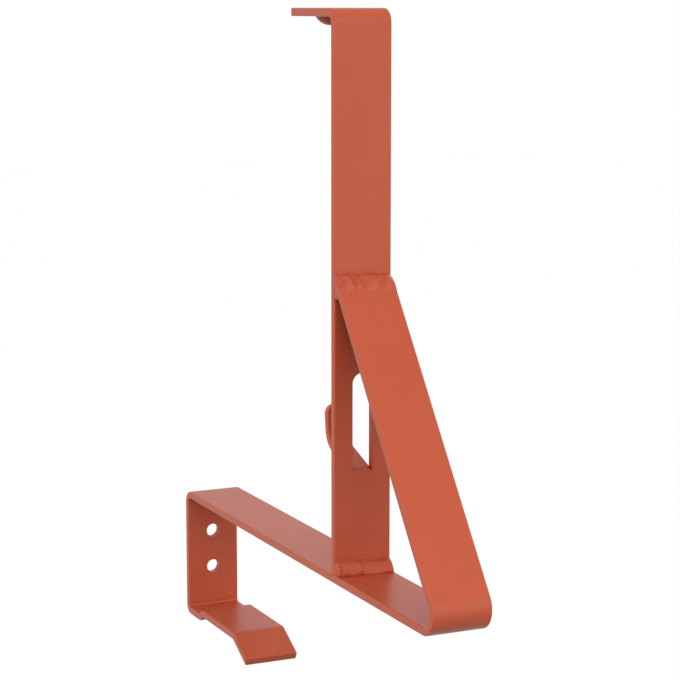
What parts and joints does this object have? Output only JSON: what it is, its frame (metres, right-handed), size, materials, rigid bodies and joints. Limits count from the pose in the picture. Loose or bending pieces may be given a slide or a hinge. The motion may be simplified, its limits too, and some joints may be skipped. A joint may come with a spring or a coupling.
{
  "type": "snow guard bracket",
  "caption": "Bent steel strap bracket that hooks over a roof batten and holds a snow guard panel upright, with a welded diagonal brace.",
  "frame": {"origin": "midway between the two screw holes, on the face of the hook's leg that bears on the batten", "axes": "+X down the roof slope along the arm, +Y across the strips along the batten, +Z away from the roof along the upright"},
  "size_m": [0.3074, 0.03, 0.3505],
  "materials": {
    "powder_coated_steel": "satin powder coat"
  },
  "bodies": {
    "root": {"support_strip": "powder_coated_steel", "upright": "powder_coated_steel", "top_weld": "powder_coated_steel", "front_foot_weld": "powder_coated_steel", "rear_foot_weld": "powder_coated_steel"}
  },
  "joints": []
}
